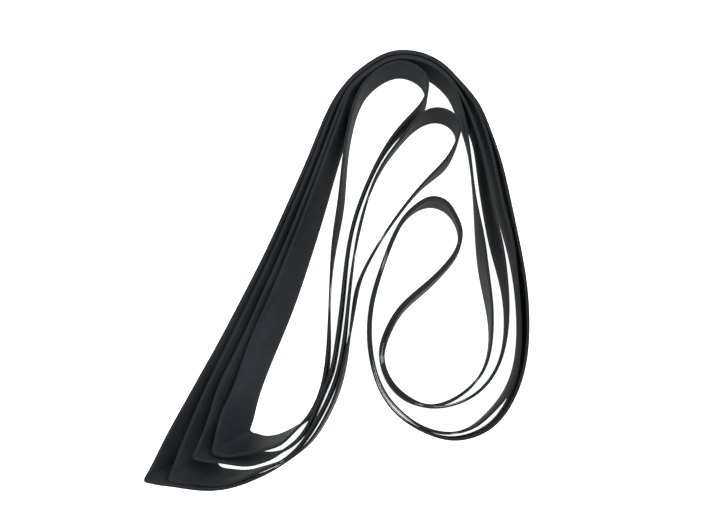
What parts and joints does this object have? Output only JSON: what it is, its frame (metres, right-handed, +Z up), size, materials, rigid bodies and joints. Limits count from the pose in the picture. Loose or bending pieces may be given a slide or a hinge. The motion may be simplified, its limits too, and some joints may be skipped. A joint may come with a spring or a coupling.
{
  "type": "flat transmission belt",
  "caption": "Endless smooth black flat transmission belt, stood on edge and folded in nested bights for storage.",
  "frame": {"origin": "centre of the footprint, on the surface the lower edge stands on", "axes": "+Z up, across the belt's width; +Y along the folded bundle, towards its crown; +X to the right"},
  "size_m": [0.3615, 0.4341, 0.0401],
  "materials": {
    "cover_rubber": "satin, smooth calendered face",
    "ply_fabric": "plain weave, rubber impregnated",
    "tension_cord": "cord ply, matte"
  },
  "bodies": {
    "root": {"back_cover": "cover_rubber", "back_fabric_ply": "ply_fabric", "tension_ply": "tension_cord", "drive_fabric_ply": "ply_fabric", "drive_cover": "cover_rubber"}
  },
  "joints": []
}
